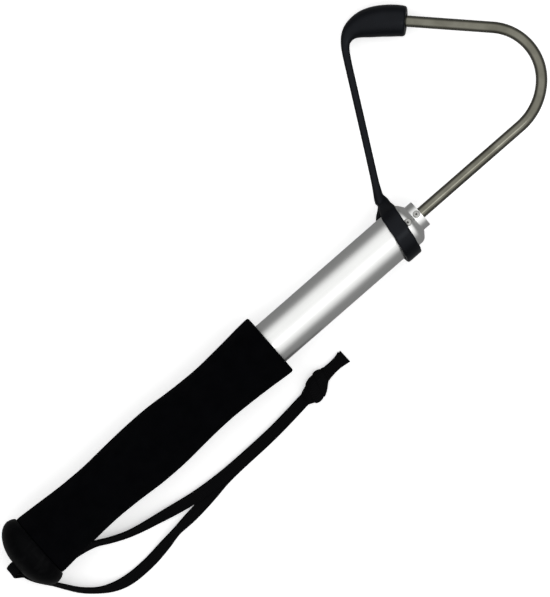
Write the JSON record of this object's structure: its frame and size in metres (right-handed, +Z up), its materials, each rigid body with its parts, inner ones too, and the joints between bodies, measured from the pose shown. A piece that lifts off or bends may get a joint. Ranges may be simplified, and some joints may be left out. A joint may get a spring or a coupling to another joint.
{
  "type": "telescopic fishing gaff",
  "caption": "Closed telescopic gaff: bent wire hook with a strapped rubber point cover, two-section tube pole, waisted foam grip, domed butt cap and knotted webbing lanyard.",
  "frame": {"origin": "on the ground, under the middle of the gaff without its lanyard", "axes": "+X along the pole from butt to hook, +Y towards the side of the hook's point, +Z up"},
  "size_m": [0.4361, 0.1669, 0.0464],
  "materials": {
    "satin_aluminium": "satin anodised, faint lengthwise brushing",
    "rivet_aluminium": "turned",
    "stainless_wire": "drawn, satin",
    "plain_steel": "plain",
    "lock_brass": "machined",
    "grey_nylon": "moulded",
    "black_foam": "closed-cell foam, matt",
    "cap_rubber": "moulded, soft sheen",
    "cover_rubber": "moulded, satin",
    "black_webbing": "braided polyester"
  },
  "bodies": {
    "handle": {"outer_tube": "satin_aluminium", "mouth_bush": "grey_nylon", "bush_rivet_top": "rivet_aluminium", "bush_rivet_bottom": "rivet_aluminium", "foam_grip": "black_foam", "butt_cap": "cap_rubber", "lanyard_pin": "plain_steel", "lanyard_bight": "black_webbing", "lanyard_strand_a": "black_webbing", "lanyard_strand_b": "black_webbing", "lanyard_knot": "black_webbing", "lanyard_tail_lower": "black_webbing", "lanyard_tail_upper": "black_webbing"},
    "expander": {"lock_expander": "grey_nylon"},
    "cone": {"lock_cone": "lock_brass"},
    "inner_section": {"inner_tube": "satin_aluminium", "stop_collar": "grey_nylon", "stud_plug": "grey_nylon", "stud_pin": "plain_steel", "lock_stud": "plain_steel", "stud_end_nut": "plain_steel", "hook_plug": "satin_aluminium", "hook_rivet": "rivet_aluminium", "hook": "stainless_wire", "cover_ring": "cover_rubber", "cover_strap": "cover_rubber"},
    "boot": {"cover_boot": "cover_rubber"}
  },
  "joints": [
    {"name": "pole_extension", "type": "slide", "parent": "handle", "child": "expander", "axis": [1, 0, 0], "range_m": [0, 0.199]},
    {"name": "lock_twist", "type": "hinge", "parent": "expander", "child": "inner_section", "pos_m": [0, -0.04512, 0.0232], "axis": [1, 0, 0], "range_deg": [0, 180]},
    {"name": "cone_feed", "type": "slide", "parent": "expander", "child": "cone", "axis": [1, 0, 0], "range_m": [0, 0.001]},
    {"name": "boot_pull", "type": "slide", "parent": "inner_section", "child": "boot", "axis": [-0.6997, 0.7077, -0.098], "range_m": [0, 0.034], "deforming": ["cover_strap"]}
  ],
  "couplings": [
    {"joint": "cone_feed", "follows": "lock_twist", "m_per_rad": 0.00031831}
  ]
}
